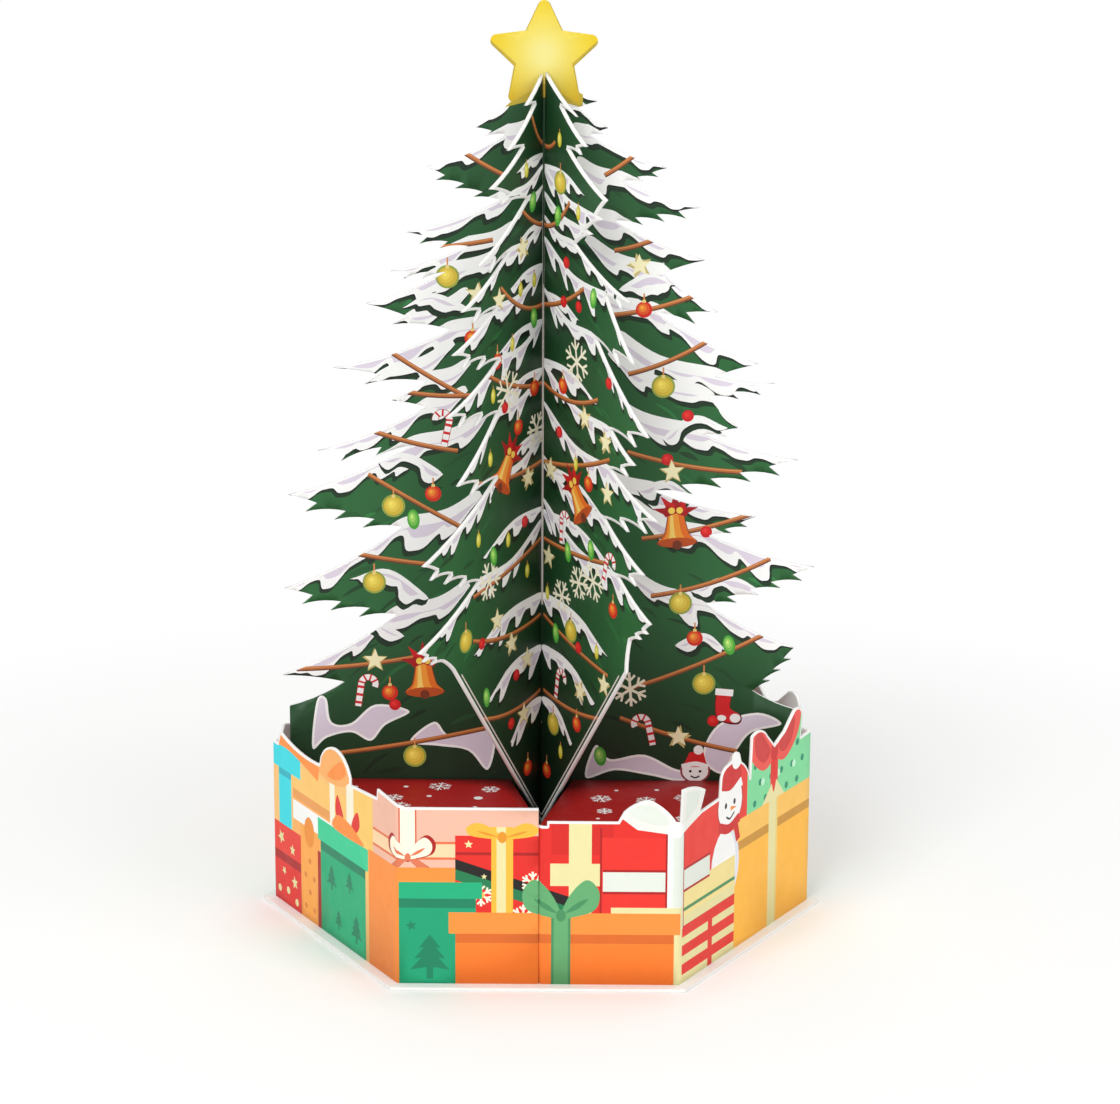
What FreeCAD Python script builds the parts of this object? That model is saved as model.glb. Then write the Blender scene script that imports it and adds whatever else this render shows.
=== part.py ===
import FreeCAD, Part
import Sketcher
import math
import os

# Christmas-tree pop-up card, standing open on its six-sided base.
#
# A folded ring of two printed strips, shaped along its top like a row of gift boxes, stands on a
# white base card. A flat tree sheet runs across the ring from corner to corner, and two more tree
# sheets cross it on the same upright axis, 60 degrees apart, so the tree is a six-armed star from
# above. The three sheets are halved into each other on that axis: each one is whole in one height
# zone and slotted in the others. Two red platforms close the ring beside the main sheet.
#
# Frame: millimetres, origin at the middle of the base card's underside, X along the main tree
# sheet, Y away from the reader, Z up.

SIZES = [
    # alias, value, what it is
    ("ring_side", 55.0, "side of the hexagonal ring, over its outer faces"),
    ("wall_height", 35.0, "plain height of the ring above the table"),
    ("wall_card", 0.5, "thickness of the ring and platform card"),
    ("sky_room", 12.0, "highest that the gift outlines may rise above the plain wall"),
    ("lap_length", 10.0, "length of the glue lap where the two strips meet"),
    ("glue_gap", 0.05, "glue line between two faces"),
    ("base_card", 0.6, "thickness of the base card"),
    ("base_margin", 2.2, "base card showing outside the ring"),
    ("tree_card", 0.6, "thickness of the three tree sheets"),
    ("side_gap", 3.5, "main sheet stopping short of the ring's corners"),
    ("skirt_height", 42.0, "height of the main tree's lowest corners"),
    ("crown_height", 173.0, "height of the two crossing sheets' points"),
    ("tooth_depth", 2.4, "longest needle tooth under a bough"),
    ("fin_skirt_height", 58.7, "height of the crossing sheets' lower corners"),
    ("fin_skirt_reach", 34.0, "reach of those corners from the axis"),
    ("fin_point_height", 16.5, "height of the crossing sheets' lowest point, on the axis"),
    ("star_rise", 13.2, "star's upper point above the crossing sheets' points"),
    ("star_radius", 12.7, "centre of the star to a point, before its rounding"),
    ("star_waist", 6.2, "centre of the star to the inner corners"),
    ("star_round", 1.3, "rounding of the star's points"),
    ("lower_lock", 84.0, "height where the lower slot zone ends"),
    ("upper_lock", 130.0, "height where the upper slot zone begins"),
    ("slot_play", 0.1, "play of a sheet in its slot"),
    ("platform_height", 26.5, "top of the red platforms"),
    ("platform_tab", 6.0, "depth of the platforms' glue tabs"),
    ("tab_relief", 3.0, "tab cut back from each corner"),
    ("notch_half_width", 6.5, "half the width of the platform notch at the main sheet"),
    ("notch_reach", 28.0, "reach of the platform notch from the axis"),
]

SIXTH_TURN = 60.0
SQRT3 = math.sqrt(3.0)
WHOLE_SHARE = 100.0
WALL_LAYERS = 2
TOP_SAG_SHARE = -0.04
TOOTH_SAG_SHARE = -0.06
TOOTH_DEPTH_SHARE = 0.4
TOOTH_HOOK_SHARE = 0.3
LAP_DROP_SHARE = 1.8

# One bough is (tip out, tip up, crotch out, crotch up, teeth). Out is in hundredths of the ring's
# side, up is in hundredths of the rise from the skirt to the crown. Each tree side has its own.
MAIN_LEFT_SHARES = (
    (24, 91, 13, 90, 1), (42, 85, 15, 80, 3), (49, 75, 27, 73, 2), (55, 69, 35, 69, 2),
    (64, 64, 33, 60, 1), (76, 54, 42, 52, 1), (55, 49, 42, 48, 0), (82, 41, 47, 42, 2),
    (93, 34, 51, 29, 3), (95, 19, 53, 15, 3), (96, 5, 73, 4, 0),
)
MAIN_RIGHT_SHARES = (
    (19, 95, 12, 94, 0), (23, 91, 16, 90, 1), (44, 85, 28, 83, 2), (56, 79, 25, 77, 3),
    (58, 71, 43, 69, 0), (63, 63, 40, 63, 1), (78, 55, 62, 53, 0), (84, 52, 60, 50, 2),
    (71, 45, 58, 44, 1), (93, 40, 40, 35, 4), (78, 31, 61, 28, 2), (100, 23, 60, 17, 4),
    (93, 10, 78, 3, 3),
)
FIN_LEFT_SHARES = (
    (13, 95, 7, 95, 0), (25, 89, 15, 89, 0), (37, 84, 12, 81, 1), (45, 73, 24, 74, 1),
    (56, 67, 33, 66, 1), (62, 61, 31, 58, 2), (66, 52, 32, 50, 2), (59, 41, 33, 40, 1),
    (82, 31, 45, 25, 3), (85, 18, 69, 15, 2),
)
FIN_RIGHT_SHARES = (
    (24, 94, 13, 95, 0), (31, 90, 18, 89, 1), (45, 83, 23, 75, 2), (62, 69, 45, 69, 1),
    (65, 60, 38, 62, 1), (75, 50, 49, 49, 1), (66, 45, 49, 43, 1), (82, 38, 45, 35, 2),
    (73, 29, 55, 27, 1), (78, 22, 64, 18, 2),
)

# A wall's top outline is (along, rise, sag): hundredths of the ring's side from the panel's middle and
# above the plain wall, and the bend of the edge to the next point as a share of its length.
BOX_FRONT_SHARES = ((-50, 4.5, 0), (-47, 3.3, 0), (0, 3.3, 0))
BOX_LAP_SHARES = ((3, 3.3, 0), (47, 3.3, 0), (50, 4.5, 0))
RIBBON_AND_KNOT_SHARES = (
    (-50, -0.9, 0), (-46, -0.9, 0), (-44, 4, -0.05), (-11, 1.1, 0), (-10, 4.4, 0.30),
    (14, 2.9, 0), (14, 0.7, 0), (35, 2.2, 0), (35.5, 5.8, 0), (50, 4.5, 0),
)
BOW_LOOP_SHARES = (
    (0, -1.5, 0), (3, -1.5, 0), (28, -1.5, 0), (30, 2.2, 0.08), (39, 6.7, 0.08), (48.5, -1.5, 0),
    (50, -1.5, 0),
)
SNOWMAN_AND_BOW_SHARES = (
    (-50, -1.5, 0), (-49, 10, 0.06), (-32, 5.5, 0), (-36, -1.8, 0), (-21, -1.1, 0), (-20.5, 4.4, 0.18),
    (-16, 9.5, 0), (-11.5, 10.2, 0.42), (-6, 10.5, 0), (-5, 8, 0.10), (2, -0.4, 0), (3, 15, 0.18),
    (15, 12.4, 0), (21, 6.9, 0), (29, 10.2, 0), (36, 15.6, 0.30), (43, 12, 0), (42, 4, 0), (50, 4.5, 0),
)

doc = FreeCAD.newDocument("PopUpTreeCard")
sheet = doc.addObject("Spreadsheet::Sheet", "Sizes")
for row, (alias, value, meaning) in enumerate(SIZES, start=1):
    sheet.set("A%d" % row, meaning)
    sheet.set("B%d" % row, str(value))
    sheet.setAlias("B%d" % row, alias)
doc.recompute()


def size(alias):
    """Value of one named size, in millimetres."""
    return float(sheet.get(alias))


def flat(x, y):
    """Point in a sketch plane."""
    return FreeCAD.Vector(x, y, 0)


def edge(start, end, sag):
    """Line from start to end, or an arc whose middle stands left of it by sag times its length."""
    if sag == 0:
        return Part.LineSegment(flat(*start), flat(*end))
    along, up = end[0] - start[0], end[1] - start[1]
    middle = ((start[0] + end[0]) / 2 - sag * up, (start[1] + end[1]) / 2 + sag * along)
    return Part.Arc(flat(*start), flat(*middle), flat(*end))


def outline(points, closed=True, side=1):
    """Edges through (x, y, sag) points. side -1 mirrors them left for right."""
    ends = points[1:] + points[:1] if closed else points[1:]
    return [edge((side * a[0], a[1]), (side * b[0], b[1]), side * a[2]) for a, b in zip(points, ends)]


def loop(corners):
    """Closed run of straight edges through plain (x, y) corners."""
    return outline([(x, y, 0) for x, y in corners])


def new_body(label, turn=0.0):
    """Body of one piece, turned about the card's upright axis."""
    body = doc.addObject("PartDesign::Body", label)
    body.Label = label
    body.Placement = FreeCAD.Placement(FreeCAD.Vector(), FreeCAD.Rotation(FreeCAD.Vector(0, 0, 1), turn))
    return body


def new_sketch(body, name, role, geometry, offset=None):
    """Sketch on one of the body's own origin planes."""
    plane = [feature for feature in body.Origin.OriginFeatures if feature.Role == role][0]
    sketch = body.newObject("Sketcher::SketchObject", name)
    sketch.AttachmentSupport = (plane, [""])
    sketch.MapMode = "FlatFace"
    if offset is not None:
        sketch.AttachmentOffset = offset
    sketch.addGeometry(geometry, False)
    return sketch


def new_pad(body, name, sketch, length, symmetric=False):
    """Pad of a sketch by an expression in the named sizes."""
    pad = body.newObject("PartDesign::Pad", name)
    pad.Profile = sketch
    if symmetric:
        pad.SideType = "Symmetric"
    pad.setExpression("Length", length)
    return pad


def new_pocket(body, name, sketch, length=None):
    """Pocket cut evenly to both sides of its sketch, through everything where it has no length."""
    pocket = body.newObject("PartDesign::Pocket", name)
    pocket.Profile = sketch
    pocket.SideType = "Symmetric"
    if length is None:
        pocket.Type = "ThroughAll"
    else:
        pocket.setExpression("Length", length)
    return pocket


def hexagon(apothem):
    """Corners of a hexagon with flats at the front and back, from the right corner round."""
    reach = apothem * 2 / SQRT3
    turns = [math.radians(SIXTH_TURN * k) for k in range(6)]
    return [(reach * math.cos(turn), reach * math.sin(turn)) for turn in turns]


def inset_path(path, distance):
    """The path moved to its right by a distance, with its corners mitred."""
    moved = []
    for k, (x, y) in enumerate(path):
        before = path[max(k - 1, 0)]
        after = path[min(k + 1, len(path) - 1)]
        turn_in = math.atan2(y - before[1], x - before[0]) if k > 0 else None
        turn_out = math.atan2(after[1] - y, after[0] - x) if k < len(path) - 1 else None
        turn_in = turn_out if turn_in is None else turn_in
        turn_out = turn_in if turn_out is None else turn_out
        half = math.remainder(turn_out - turn_in, 2 * math.pi) / 2
        reach = distance / math.cos(half)
        moved.append((x + reach * math.sin(turn_in + half), y - reach * math.cos(turn_in + half)))
    return moved


def base_card():
    """White hexagonal card that the ring stands on."""
    body = new_body("base_card")
    corners = hexagon(size("ring_side") * SQRT3 / 2 + size("base_margin"))
    sketch = new_sketch(body, "BaseOutline", "XY_Plane", loop(corners))
    new_pad(body, "BasePad", sketch, "Sizes.base_card")
    return body


def strip_path():
    """Outer faces of the left strip in plan: front middle, round the left corner, to its lap."""
    apothem = size("ring_side") * SQRT3 / 2
    half = size("ring_side") / 2
    step = size("wall_card") + size("glue_gap")
    return [
        (0, -apothem),
        (-half, -apothem),
        (-2 * half, 0),
        (-half, apothem),
        (-step - size("glue_gap"), apothem),
        (-size("glue_gap"), apothem - step),
        (size("lap_length"), apothem - step),
    ]


def gift_wall(label, turn, panels):
    """Folded strip of three panels and a lap, cut to its gift outlines panel by panel.

    The panels are named in their order along the strip, each a sixth of a turn after the one before.
    """
    body = new_body(label, turn)
    outer = strip_path()
    plan = loop(outer + inset_path(outer, size("wall_card"))[::-1])
    base = new_sketch(body, label + "_plan", "XY_Plane", plan)
    base.setExpression("AttachmentOffset.Base.z", "Sizes.base_card")
    new_pad(body, label + "_strip", base, "Sizes.wall_height + Sizes.sky_room - Sizes.base_card")
    ceiling = size("wall_height") + 2 * size("sky_room")
    share = size("ring_side") / WHOLE_SHARE
    through = "2 * %d * (Sizes.wall_card + Sizes.glue_gap)" % WALL_LAYERS
    for number, (name, points) in enumerate(panels):
        facing = -SIXTH_TURN * number
        top = [(x * share, size("wall_height") + rise * share, sag) for x, rise, sag in points]
        sky = [(top[-1][0], ceiling, 0), (top[0][0], ceiling, 0)]
        frame = FreeCAD.Placement(FreeCAD.Vector(), FreeCAD.Rotation(FreeCAD.Vector(0, 1, 0), facing))
        out = FreeCAD.Placement(FreeCAD.Vector(0, 0, size("ring_side") * SQRT3 / 2), FreeCAD.Rotation())
        sketch = new_sketch(body, label + name, "XZ_Plane", outline(top + sky), frame * out)
        new_pocket(body, label + name + "Cut", sketch, through)
    return body


def mirrored(points):
    """A wall outline read the other way round."""
    ends = points[::-1]
    sags = [point[2] for point in ends[1:]] + [0]
    return tuple((-x, rise, sag) for (x, rise, _), sag in zip(ends, sags))


def lapped(points):
    """A half panel's outline with the plain glue lap before it."""
    start = -WHOLE_SHARE * size("lap_length") / size("ring_side")
    lap_top = min(rise for _, rise, _ in points) - LAP_DROP_SHARE
    return ((start, lap_top, 0), (points[0][0], lap_top, 0)) + points


def platform(label, turn):
    """Half of the red floor: a notched plate with glue tabs to the walls and the main sheet."""
    body = new_body(label, turn)
    step = size("wall_card") + size("glue_gap")
    apothem = size("ring_side") * SQRT3 / 2
    near = -size("tree_card") / 2 - size("glue_gap")
    far = -apothem + 2 * step
    side_apothem = apothem - step
    near_x = (2 * side_apothem + near) / SQRT3
    far_x = (2 * side_apothem + far) / SQRT3
    notch = size("notch_half_width")
    mouth = notch * (1 + near / size("notch_reach"))
    plate = [
        (-near_x, near), (-mouth, near), (0, -size("notch_reach")), (mouth, near),
        (near_x, near), (far_x, far), (-far_x, far),
    ]
    top = new_sketch(body, label + "_plate", "XY_Plane", loop(plate))
    top.setExpression("AttachmentOffset.Base.z", "Sizes.platform_height - Sizes.wall_card")
    new_pad(body, label + "_floor", top, "Sizes.wall_card")
    card = size("wall_card")
    relief = size("tab_relief")
    tabs = [
        tab_plan((-far_x, far), (far_x, far), relief, card),
        tab_plan((far_x, far), (near_x, near), relief, card),
        tab_plan((-near_x, near), (-far_x, far), relief, card),
        tab_plan((near_x - relief, near), (mouth, near), relief, card),
        tab_plan((-mouth, near), (-near_x + relief, near), relief, card),
    ]
    for number, tab in enumerate(tabs, start=1):
        plan = new_sketch(body, "%s_tab%d" % (label, number), "XY_Plane", loop(tab))
        plan.setExpression("AttachmentOffset.Base.z", "Sizes.platform_height - Sizes.platform_tab")
        new_pad(body, "%s_drop%d" % (label, number), plan, "Sizes.platform_tab")
    return body


def tab_plan(start, end, relief, card):
    """Plan of a tab folded down inside the edge from start to end, with the plate on its left."""
    length = math.dist(start, end)
    along = ((end[0] - start[0]) / length, (end[1] - start[1]) / length)
    inward = (-along[1], along[0])
    first = (start[0] + along[0] * relief, start[1] + along[1] * relief)
    last = (end[0] - along[0] * relief, end[1] - along[1] * relief)
    return [first, last, (last[0] + inward[0] * card, last[1] + inward[1] * card),
            (first[0] + inward[0] * card, first[1] + inward[1] * card)]


def bough_edge(boughs, top, foot):
    """Points down one side of a tree: a drooping edge to each tip, then needle teeth back in."""
    across = size("ring_side") / WHOLE_SHARE
    rise = (size("crown_height") - size("skirt_height")) / WHOLE_SHARE
    points = [top + (TOP_SAG_SHARE,)]
    for tip_out, tip_up, crotch_out, crotch_up, teeth in boughs:
        tip = (tip_out * across, size("skirt_height") + tip_up * rise)
        crotch = (crotch_out * across, size("skirt_height") + crotch_up * rise)
        length = math.dist(tip, crotch)
        inward = ((crotch[0] - tip[0]) / length, (crotch[1] - tip[1]) / length)
        down = (inward[1], -inward[0]) if inward[0] > 0 else (-inward[1], inward[0])
        step = length / (teeth + 1)
        depth = min(size("tooth_depth"), TOOTH_DEPTH_SHARE * step)
        points.append(tip + (TOOTH_SAG_SHARE / 2,))
        for k in range(1, teeth + 1):
            notch = (tip[0] + inward[0] * step * k, tip[1] + inward[1] * step * k)
            hook = step * TOOTH_HOOK_SHARE
            point = (notch[0] - inward[0] * hook + down[0] * depth,
                     notch[1] - inward[1] * hook + down[1] * depth)
            points.append(notch + (0,))
            points.append(point + (TOOTH_SAG_SHARE,))
        points.append(crotch + (TOP_SAG_SHARE,))
    return points + [foot + (0,)]


def slot(body, name, low, high):
    """Slot on the axis between two heights, wide enough for sheets that cross it at 60 degrees."""
    sketch = new_sketch(body, name, "XZ_Plane", loop([(-1, 1), (1, 1), (1, 2), (-1, 2)]))
    for first, second in ((0, 1), (1, 2), (2, 3), (3, 0)):
        sketch.addConstraint(Sketcher.Constraint("Coincident", first, 2, second, 1))
    sketch.addConstraint(Sketcher.Constraint("Symmetric", 0, 1, 0, 2, -2))
    sketch.addConstraint(Sketcher.Constraint("Symmetric", 2, 1, 2, 2, -2))
    named = (("width", ("DistanceX", 0, 1, 0, 2, 2.0), "sqrt(3) * Sizes.tree_card + Sizes.slot_play"),
             ("low", ("DistanceY", -1, 1, 0, 1, 1.0), low),
             ("high", ("DistanceY", -1, 1, 2, 1, 2.0), high))
    for label, terms, formula in named:
        index = sketch.addConstraint(Sketcher.Constraint(*terms))
        sketch.renameConstraint(index, label)
        sketch.setExpression("Constraints." + label, formula)
    return new_pocket(body, name + "Cut", sketch)


def blunt(corners, radius):
    """Closed outline through corners, with every second one, from the first, rounded."""
    points = []
    for k, corner in enumerate(corners):
        if k % 2:
            points.append(corner + (0,))
            continue
        before, after = corners[k - 1], corners[(k + 1) % len(corners)]
        back = math.atan2(before[1] - corner[1], before[0] - corner[0])
        on = math.atan2(after[1] - corner[1], after[0] - corner[0])
        half = abs(math.remainder(on - back, 2 * math.pi)) / 2
        reach = radius / math.tan(half)
        sag = (1 - math.sin(half)) / (2 * math.cos(half))
        points.append((corner[0] + reach * math.cos(back), corner[1] + reach * math.sin(back), sag))
        points.append((corner[0] + reach * math.cos(on), corner[1] + reach * math.sin(on), 0))
    return points


def star_corners():
    """Corners of the tree-top star, clockwise from its upper point."""
    middle = size("crown_height") + size("star_rise") + tip_loss() - size("star_radius")
    corners = []
    for k in range(10):
        reach = size("star_waist") if k % 2 else size("star_radius")
        turn = math.radians(90 - 36 * k)
        corners.append((reach * math.cos(turn), middle + reach * math.sin(turn)))
    return corners


def tip_loss():
    """Length that the rounding takes off a star point."""
    spread = math.radians(36)
    across = size("star_waist") * math.sin(spread)
    along = size("star_radius") - size("star_waist") * math.cos(spread)
    half = math.atan2(across, along)
    return size("star_round") * (1 / math.sin(half) - 1)


def main_tree():
    """The sheet that faces the reader, with the star at its top and its foot on the base card."""
    body = new_body("main_tree")
    foot_x = size("ring_side") - size("side_gap")
    foot = (foot_x, size("skirt_height"))
    top = (0, size("crown_height"))
    geometry = outline(bough_edge(MAIN_RIGHT_SHARES, top, foot), closed=False)
    geometry += outline(bough_edge(MAIN_LEFT_SHARES, top, foot), closed=False, side=-1)
    ground = size("base_card")
    legs = [(foot_x, size("skirt_height"), 0), (foot_x, ground, 0), (-foot_x, ground, 0),
            (-foot_x, size("skirt_height"), 0)]
    geometry += outline(legs, closed=False)
    tree = new_sketch(body, "MainOutline", "XZ_Plane", geometry)
    new_pad(body, "MainPad", tree, "Sizes.tree_card", symmetric=True)
    star = new_sketch(body, "StarOutline", "XZ_Plane", outline(blunt(star_corners(), size("star_round"))))
    new_pad(body, "StarPad", star, "Sizes.tree_card", symmetric=True)
    slot(body, "MainSlot", "Sizes.base_card - Sizes.tree_card", "Sizes.upper_lock")
    return body


def cross_tree(label, turn, boughs):
    """A sheet across the main one, the same on both sides of the axis, ending in a point below."""
    body = new_body(label, turn)
    foot = (size("fin_skirt_reach"), size("fin_skirt_height"))
    top = (0, size("crown_height"))
    point = (0, size("fin_point_height"))
    geometry = []
    for side in (1, -1):
        geometry += outline(bough_edge(boughs, top, foot), closed=False, side=side)
        geometry += outline([foot + (0,), point + (0,)], closed=False, side=side)
    tree = new_sketch(body, label + "_outline", "XZ_Plane", geometry)
    new_pad(body, label + "_pad", tree, "Sizes.tree_card", symmetric=True)
    return body


def build():
    """All eight pieces of the card."""
    base = base_card()
    left = gift_wall("wall_left", 0, (
        ("Front", BOX_FRONT_SHARES),
        ("LeftFront", RIBBON_AND_KNOT_SHARES),
        ("LeftBack", mirrored(RIBBON_AND_KNOT_SHARES)),
        ("Back", lapped(BOX_LAP_SHARES)),
    ))
    right = gift_wall("wall_right", 180, (
        ("Back", mirrored(BOW_LOOP_SHARES)),
        ("RightBack", mirrored(SNOWMAN_AND_BOW_SHARES)),
        ("RightFront", SNOWMAN_AND_BOW_SHARES),
        ("Front", lapped(BOW_LOOP_SHARES[1:])),
    ))
    floors = [platform("platform_front", 0), platform("platform_back", 180)]
    main = main_tree()
    cross_left = cross_tree("cross_tree_left", SIXTH_TURN, FIN_LEFT_SHARES)
    slot(cross_left, "LeftLowSlot", "Sizes.fin_point_height - Sizes.tree_card", "Sizes.lower_lock")
    slot(cross_left, "LeftHighSlot", "Sizes.upper_lock", "Sizes.crown_height + Sizes.tree_card")
    cross_right = cross_tree("cross_tree_right", -SIXTH_TURN, FIN_RIGHT_SHARES)
    slot(cross_right, "RightSlot", "Sizes.lower_lock", "Sizes.crown_height + Sizes.tree_card")
    return [base, left, right] + floors + [main, cross_left, cross_right]


bodies = build()
doc.recompute()
for thing in doc.Objects:
    if {"Invalid", "Error"} & set(thing.State):
        raise RuntimeError("failed object: " + thing.Label)
os.makedirs("parts", exist_ok=True)
for body in bodies:
    if body.Shape.isNull() or not body.Shape.isValid():
        raise RuntimeError("bad shape: " + body.Label)
    print(body.Label, len(body.Shape.Solids), "solid", round(body.Shape.Volume, 1), "mm3")
for body in bodies:
    body.Shape.exportStep("parts/%s.step" % body.Label)
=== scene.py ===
import copy
import math
import random

import bpy
import numpy as np
from mathutils import Matrix, Vector
from mathutils.geometry import delaunay_2d_cdt


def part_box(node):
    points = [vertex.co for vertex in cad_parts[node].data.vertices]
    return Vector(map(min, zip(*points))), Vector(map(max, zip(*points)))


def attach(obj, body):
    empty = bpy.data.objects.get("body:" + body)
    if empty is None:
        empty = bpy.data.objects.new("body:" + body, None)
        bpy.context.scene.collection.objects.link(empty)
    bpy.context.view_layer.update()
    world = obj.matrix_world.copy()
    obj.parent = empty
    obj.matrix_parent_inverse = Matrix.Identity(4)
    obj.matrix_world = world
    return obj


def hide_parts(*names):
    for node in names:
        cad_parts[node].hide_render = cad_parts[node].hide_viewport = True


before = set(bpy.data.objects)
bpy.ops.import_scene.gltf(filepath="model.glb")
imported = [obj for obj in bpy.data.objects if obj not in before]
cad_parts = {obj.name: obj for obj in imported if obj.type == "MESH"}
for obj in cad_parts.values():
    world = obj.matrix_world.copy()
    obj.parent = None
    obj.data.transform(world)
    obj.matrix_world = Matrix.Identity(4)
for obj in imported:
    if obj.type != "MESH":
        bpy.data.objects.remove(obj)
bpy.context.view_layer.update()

# Base card: a plain white hexagon of stiff card under the ring. It shows as a narrow white margin
# outside the walls. It keeps its own solid and gets the look of uncoated card stock.


class Wire:
    """A shader socket that can be used in sums and products, each of which adds its Math node."""

    def __init__(self, graph, socket):
        self.graph = graph
        self.socket = socket

    def math(self, operation, other, swapped=False):
        terms = (other, self) if swapped else (self, other)
        return self.graph.node("ShaderNodeMath", {"operation": operation}, {0: terms[0], 1: terms[1]})

    def __add__(self, other):
        return self.math("ADD", other)

    __radd__ = __add__

    def __mul__(self, other):
        return self.math("MULTIPLY", other)

    __rmul__ = __mul__

    def __sub__(self, other):
        return self.math("SUBTRACT", other)

    def __rsub__(self, other):
        return self.math("SUBTRACT", other, swapped=True)


class Graph:
    """The nodes of a material or of the world."""

    def __init__(self, owner):
        owner.use_nodes = True
        self.tree = owner.node_tree
        self.tree.nodes.clear()

    def node(self, kind, settings, inputs, output=0):
        """Adds any node: its settings first, then the values or links of its sockets."""
        made = self.tree.nodes.new(kind)
        for name, value in settings.items():
            setattr(made, name, value)
        for name, value in inputs.items():
            if isinstance(value, Wire):
                self.tree.links.new(value.socket, made.inputs[name])
            else:
                made.inputs[name].default_value = value
        return Wire(self, made.outputs[output]) if made.outputs else None


FIBRE_SCALE = 2600.0
MOTTLE_SCALE = 320.0
FIBRE_HEIGHT = 0.00004


def linear(colour):
    """Screen colour, 0 to 255, as linear light: a power curve with a straight foot."""
    share = np.asarray(colour, float) / 255
    return np.where(share <= 0.04045, share / 12.92, ((share + 0.055) / 1.055) ** 2.4)


def paper_finish(name, printed, roughness, grain):
    """Card stock: fine fibres in the bump, a faint mottle in colour and roughness.

    printed is a screen colour, or the name of the colour attribute that holds the inks.
    """
    material = bpy.data.materials.new(name)
    graph = Graph(material)
    place = graph.node("ShaderNodeTexCoord", {}, {}, "Object")
    fibre = graph.node("ShaderNodeTexNoise", {}, {"Vector": place, "Scale": FIBRE_SCALE, "Detail": 3.0})
    mottle = graph.node("ShaderNodeTexNoise", {}, {"Vector": place, "Scale": MOTTLE_SCALE, "Detail": 4.0})
    if isinstance(printed, str):
        ink = graph.node("ShaderNodeAttribute", {"attribute_name": printed}, {}, "Color")
    else:
        ink = linear(printed)
    tone = 1 - grain * (mottle - 0.3) - 0.5 * grain * (fibre - 0.3)
    colour = graph.node("ShaderNodeVectorMath", {"operation": "SCALE"}, {"Vector": ink, "Scale": tone})
    bump = graph.node("ShaderNodeBump", {}, {"Strength": 0.25, "Distance": FIBRE_HEIGHT, "Height": fibre})
    surface = graph.node("ShaderNodeBsdfPrincipled", {}, {
        "Base Color": colour, "Roughness": roughness + 0.25 * (mottle - 0.5), "Normal": bump,
        "Specular IOR Level": 0.35})
    graph.node("ShaderNodeOutputMaterial", {}, {"Surface": surface})
    return material


WHITE_CARD = (240, 239, 236)
base_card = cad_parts["base_card"]
base_card.data.materials.clear()
base_card.data.materials.append(paper_finish("white card", WHITE_CARD, 0.62, 0.05))

# Ring walls: two strips of printed card, scored and folded at the corners, cut along the top to the
# outlines of the gifts. The print is on the outer face. The inner face and the cut edges are white.

MM = 0.001
CUT_WHITE = (244, 243, 240)
FOLD_REACH = 400.0
ON_PANEL = 0.02


def oval(x, y, across, up=None, turn=0.0, steps=18):
    """Ellipse: centre plus its half axes times the cosine and sine of an even turn."""
    angle = np.arange(steps) * 2 * np.pi / steps
    points = np.stack([across * np.cos(angle), (across if up is None else up) * np.sin(angle)], 1)
    return turned(points, turn) + (x, y)


def turned(points, degrees):
    """Points turned about the origin."""
    c, s = math.cos(math.radians(degrees)), math.sin(math.radians(degrees))
    return np.asarray(points, float) @ np.array([[c, s], [-s, c]])


def star(x, y, reach, waist, turn=0.0, points=5):
    """Star: the radius goes by turns from reach to waist, a half step of the turn apart."""
    angle = np.pi / 2 - np.arange(2 * points) * np.pi / points
    radius = np.where(np.arange(2 * points) % 2, waist, reach)
    return turned(np.stack([radius * np.cos(angle), radius * np.sin(angle)], 1), turn) + (x, y)


def rectangle(left, low, right, high):
    """Upright rectangle."""
    return np.array([(left, low), (right, low), (right, high), (left, high)], float)


def curve(points, steps=6, closed=False):
    """Smooth curve through the points: a Catmull-Rom cubic between each two, from its neighbours."""
    points = np.asarray(points, float)
    if closed:
        ring = np.concatenate([points[-1:], points, points[:2]])
    else:
        ring = np.concatenate([2 * points[:1] - points[1:2], points, 2 * points[-1:] - points[-2:-1]])
    share = np.arange(steps)[:, None, None] / steps
    a, b, c, d = ring[:-3], ring[1:-2], ring[2:-1], ring[3:]
    spans = b + 0.5 * share * (c - a + share * (2 * a - 5 * b + 4 * c - d + share * (3 * (b - c) + d - a)))
    run = spans.transpose(1, 0, 2).reshape(-1, 2)
    return run if closed else np.concatenate([run, points[-1:]])


def ribbon(path, half):
    """Band along a path: its points moved by the half width to the left, then back on the right."""
    path = np.asarray(path, float)
    along = np.gradient(path, axis=0)
    along /= np.linalg.norm(along, axis=1, keepdims=True) + 1e-9
    side = np.stack([-along[:, 1], along[:, 0]], 1) * np.reshape(half, (-1, 1))
    return np.concatenate([path + side, (path - side)[::-1]])


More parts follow.
